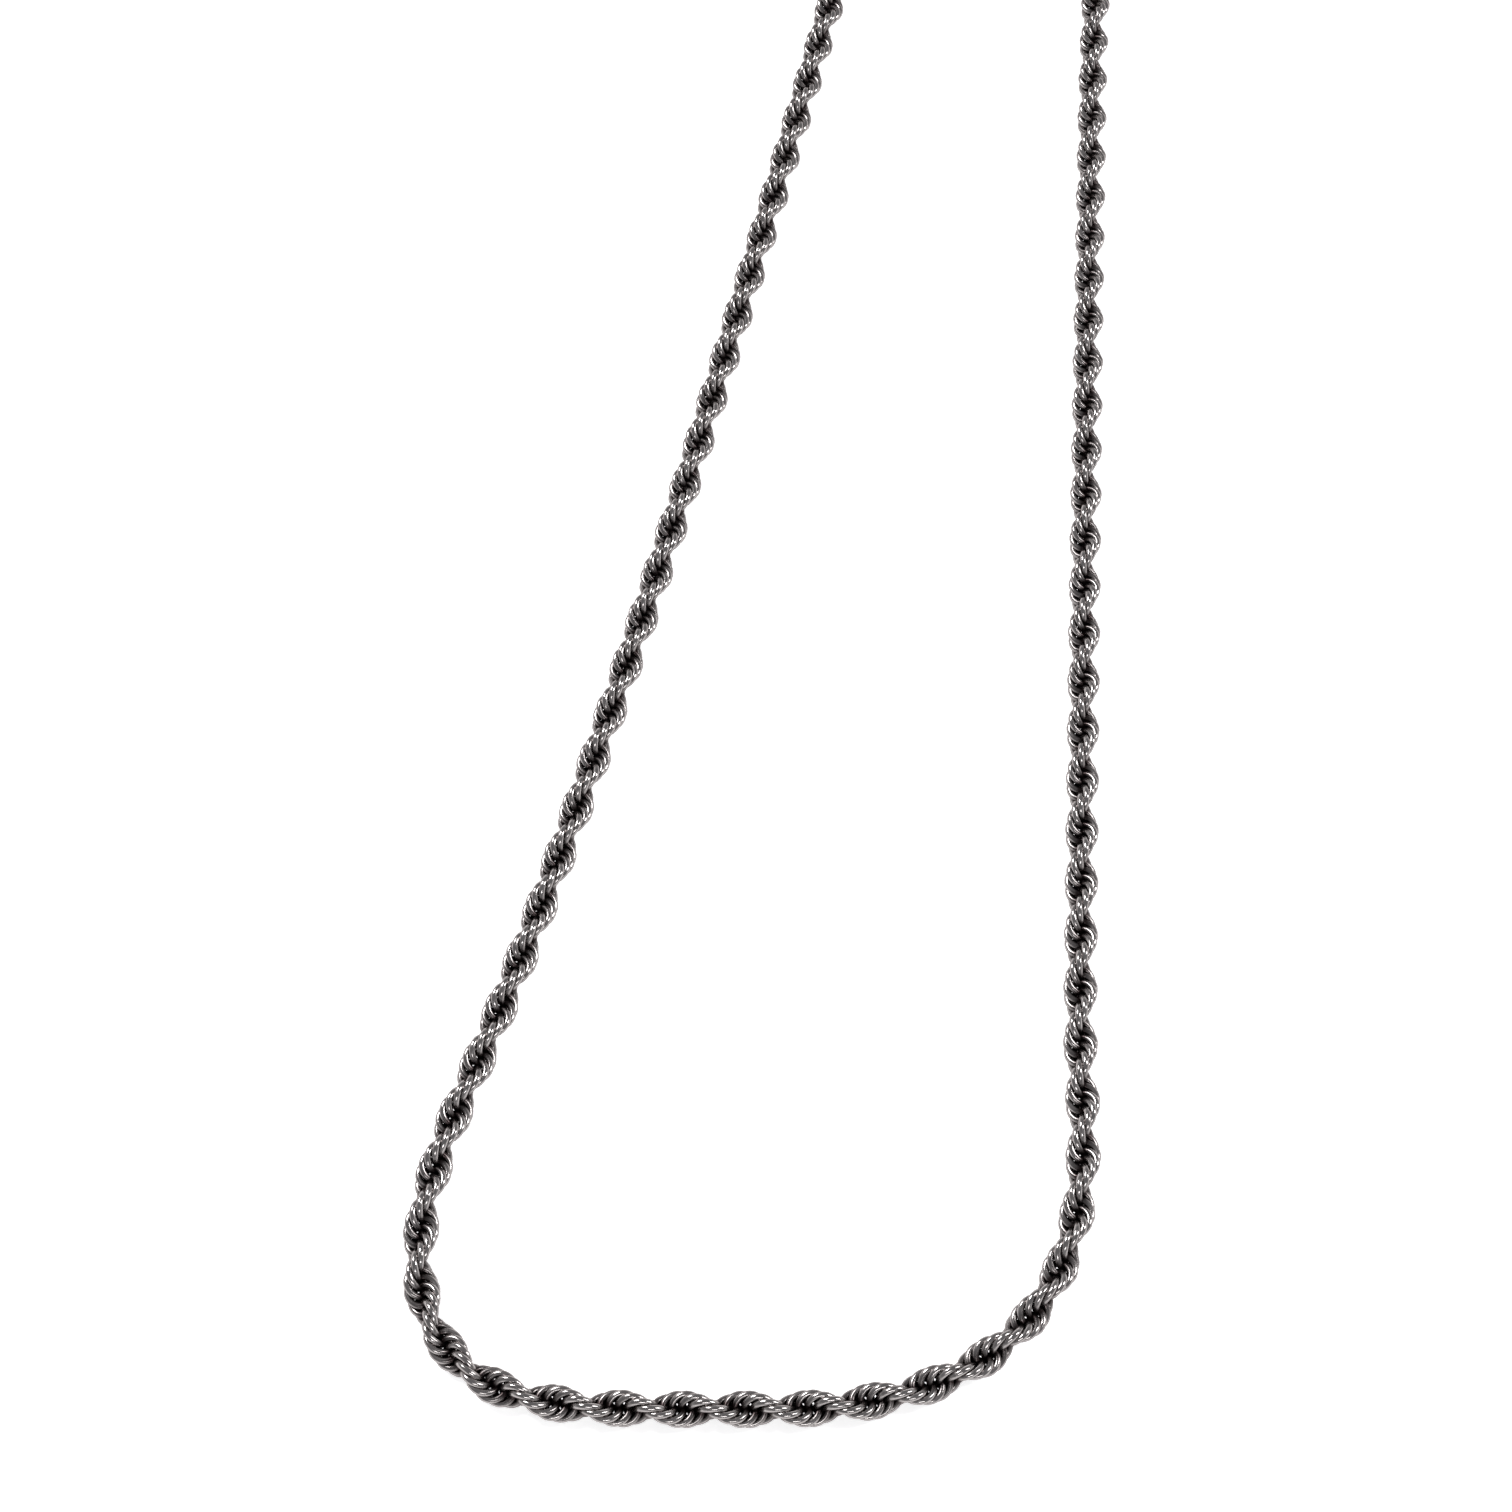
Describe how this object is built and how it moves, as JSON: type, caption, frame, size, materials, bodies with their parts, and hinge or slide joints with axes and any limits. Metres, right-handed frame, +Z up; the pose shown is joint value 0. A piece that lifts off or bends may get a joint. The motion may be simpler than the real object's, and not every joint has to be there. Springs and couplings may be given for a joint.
{
  "type": "chain necklace",
  "caption": "Twisted rope chain necklace of interlinked round wire links, with an open lobster clasp and an end tag, laid out flat.",
  "frame": {"origin": "centre of the bounding box on the surface the necklace lies on", "axes": "+Z up, +Y from the front of the necklace to its two ends, +X to the right when the front is nearest"},
  "size_m": [0.082, 0.232, 0.0032],
  "materials": {
    "chain": "polished",
    "fittings": "polished",
    "spring": "satin"
  },
  "bodies": {
    "front": {"front_chain": "chain", "left_bend_01": "chain", "right_bend_01": "chain"},
    "left_01": {"left_chain_01": "chain", "left_bend_02": "chain"},
    "left_02": {"left_chain_02": "chain", "left_bend_03": "chain"},
    "left_03": {"left_chain_03": "chain", "left_bend_04": "chain"},
    "left_04": {"left_chain_04": "chain", "left_bend_05": "chain"},
    "left_05": {"left_chain_05": "chain", "left_bend_06": "chain"},
    "left_06": {"left_chain_06": "chain", "left_bend_07": "chain"},
    "left_07": {"left_chain_07": "chain", "left_bend_08": "chain"},
    "left_08": {"left_chain_08": "chain", "left_bend_09": "chain"},
    "left_09": {"left_chain_09": "chain", "left_bend_10": "chain"},
    "left_10": {"left_chain_10": "chain", "left_bend_11": "chain"},
    "left_11": {"left_chain_11": "chain"},
    "left_jump_ring": {"left_jump_ring": "fittings"},
    "clasp": {"clasp_hook": "fittings", "clasp_rivet": "fittings", "clasp_spring": "spring"},
    "right_01": {"right_chain_01": "chain", "right_bend_02": "chain"},
    "right_02": {"right_chain_02": "chain", "right_bend_03": "chain"},
    "right_03": {"right_chain_03": "chain", "right_bend_04": "chain"},
    "right_04": {"right_chain_04": "chain", "right_bend_05": "chain"},
    "right_05": {"right_chain_05": "chain", "right_bend_06": "chain"},
    "right_06": {"right_chain_06": "chain", "right_bend_07": "chain"},
    "right_07": {"right_chain_07": "chain", "right_bend_08": "chain"},
    "right_08": {"right_chain_08": "chain", "right_bend_09": "chain"},
    "right_09": {"right_chain_09": "chain", "right_bend_10": "chain"},
    "right_10": {"right_chain_10": "chain", "right_bend_11": "chain"},
    "right_11": {"right_chain_11": "chain"},
    "right_jump_ring": {"right_jump_ring": "fittings"},
    "end_tag": {"end_tag": "chain"},
    "clasp_lever": {"clasp_lever": "fittings"}
  },
  "joints": [
    {"name": "left_swing_01", "type": "hinge", "parent": "front", "child": "left_01", "pos_m": [-0.02843, -0.11334, 0.00161], "axis": [0, 0, 1], "range_deg": [-3, 35], "deforming": ["left_bend_01"]},
    {"name": "left_swing_02", "type": "hinge", "parent": "left_01", "child": "left_02", "pos_m": [-0.03933, -0.09734, 0.00161], "axis": [0, 0, -1], "range_deg": [-35, 3], "deforming": ["left_bend_02"]},
    {"name": "left_swing_03", "type": "hinge", "parent": "left_02", "child": "left_03", "pos_m": [-0.03332, -0.0768, 0.00161], "axis": [0, 0, 1], "range_deg": [-3, 35], "deforming": ["left_bend_03"]},
    {"name": "left_lift_04", "type": "hinge", "parent": "left_03", "child": "left_04", "pos_m": [-0.02687, -0.05632, 0.00161], "axis": [0.9599, -0.2805, 0], "range_deg": [0, 20], "deforming": ["left_bend_04"]},
    {"name": "left_swing_05", "type": "hinge", "parent": "left_04", "child": "left_05", "pos_m": [-0.02104, -0.03565, 0.00161], "axis": [0, 0, -1], "range_deg": [-35, 4], "deforming": ["left_bend_05"]},
    {"name": "left_swing_06", "type": "hinge", "parent": "left_05", "child": "left_06", "pos_m": [-0.0156, -0.01489, 0.00161], "axis": [0, 0, 1], "range_deg": [-4, 35], "deforming": ["left_bend_06"]},
    {"name": "left_swing_07", "type": "hinge", "parent": "left_06", "child": "left_07", "pos_m": [-0.01044, 0.00596, 0.00161], "axis": [0, 0, -1], "range_deg": [-35, 8], "deforming": ["left_bend_07"]},
    {"name": "left_lift_08", "type": "hinge", "parent": "left_07", "child": "left_08", "pos_m": [-0.00539, 0.02682, 0.00161], "axis": [0.9725, -0.2329, 0], "range_deg": [0, 25], "deforming": ["left_bend_08"]},
    {"name": "left_swing_09", "type": "hinge", "parent": "left_08", "child": "left_09", "pos_m": [-0.00044, 0.04772, 0.00161], "axis": [0, 0, 1], "range_deg": [-8, 35], "deforming": ["left_bend_09"]},
    {"name": "left_swing_10", "type": "hinge", "parent": "left_09", "child": "left_10", "pos_m": [0.00449, 0.06861, 0.00161], "axis": [0, 0, -1], "range_deg": [-35, 15], "deforming": ["left_bend_10"]},
    {"name": "left_lift_11", "type": "hinge", "parent": "left_10", "child": "left_11", "pos_m": [0.01027, 0.08929, 0.00161], "axis": [0.9556, -0.2945, 0], "range_deg": [0, 45], "deforming": ["left_bend_11"]},
    {"name": "left_jump_ring_swing", "type": "hinge", "parent": "left_11", "child": "left_jump_ring", "pos_m": [0.0155, 0.10511, 0.00161], "axis": [0.944, -0.3299, 0], "range_deg": [-20, 20]},
    {"name": "clasp_swing", "type": "hinge", "parent": "left_jump_ring", "child": "clasp", "pos_m": [0.01608, 0.10675, 0.00161], "axis": [0, 0, 1], "range_deg": [-40, 40]},
    {"name": "right_swing_01", "type": "hinge", "parent": "front", "child": "right_01", "pos_m": [-0.00251, -0.11414, 0.00161], "axis": [0, 0, 1], "range_deg": [-35, 3], "deforming": ["right_bend_01"]},
    {"name": "right_swing_02", "type": "hinge", "parent": "right_01", "child": "right_02", "pos_m": [0.01659, -0.10568, 0.00161], "axis": [0, 0, -1], "range_deg": [-3, 35], "deforming": ["right_bend_02"]},
    {"name": "right_swing_03", "type": "hinge", "parent": "right_02", "child": "right_03", "pos_m": [0.02227, -0.08543, 0.00161], "axis": [0, 0, 1], "range_deg": [-35, 3], "deforming": ["right_bend_03"]},
    {"name": "right_lift_04", "type": "hinge", "parent": "right_03", "child": "right_04", "pos_m": [0.02327, -0.06399, 0.00161], "axis": [0.9981, -0.062, 0], "range_deg": [0, 20], "deforming": ["right_bend_04"]},
    {"name": "right_swing_05", "type": "hinge", "parent": "right_04", "child": "right_05", "pos_m": [0.02462, -0.04256, 0.00161], "axis": [0, 0, -1], "range_deg": [-4, 35], "deforming": ["right_bend_05"]},
    {"name": "right_swing_06", "type": "hinge", "parent": "right_05", "child": "right_06", "pos_m": [0.02601, -0.02113, 0.00161], "axis": [0, 0, 1], "range_deg": [-35, 4], "deforming": ["right_bend_06"]},
    {"name": "right_swing_07", "type": "hinge", "parent": "right_06", "child": "right_07", "pos_m": [0.02743, 0.00029, 0.00161], "axis": [0, 0, -1], "range_deg": [-8, 35], "deforming": ["right_bend_07"]},
    {"name": "right_lift_08", "type": "hinge", "parent": "right_07", "child": "right_08", "pos_m": [0.02888, 0.02171, 0.00161], "axis": [0.9976, -0.0687, 0], "range_deg": [0, 25], "deforming": ["right_bend_08"]},
    {"name": "right_swing_09", "type": "hinge", "parent": "right_08", "child": "right_09", "pos_m": [0.03042, 0.04312, 0.00161], "axis": [0, 0, 1], "range_deg": [-35, 8], "deforming": ["right_bend_09"]},
    {"name": "right_swing_10", "type": "hinge", "parent": "right_09", "child": "right_10", "pos_m": [0.03243, 0.0645, 0.00161], "axis": [0, 0, -1], "range_deg": [-15, 35], "deforming": ["right_bend_10"]},
    {"name": "right_lift_11", "type": "hinge", "parent": "right_10", "child": "right_11", "pos_m": [0.035, 0.08582, 0.00161], "axis": [0.9912, -0.1326, 0], "range_deg": [0, 45], "deforming": ["right_bend_11"]},
    {"name": "right_jump_ring_swing", "type": "hinge", "parent": "right_11", "child": "right_jump_ring", "pos_m": [0.03737, 0.10231, 0.00161], "axis": [0.9885, -0.151, 0], "range_deg": [-20, 20]},
    {"name": "end_tag_swing", "type": "hinge", "parent": "right_jump_ring", "child": "end_tag", "pos_m": [0.03764, 0.10403, 0.00161], "axis": [0, 0, 1], "range_deg": [-40, 40]},
    {"name": "clasp_lever_press", "type": "hinge", "parent": "clasp", "child": "clasp_lever", "pos_m": [0.01827, 0.10957, 0.00161], "axis": [0, 0, 1], "range_deg": [0, 25], "stiffness_Nm_per_rad": 0.0002, "springref_deg": -20.05, "deforming": ["clasp_spring"]}
  ]
}
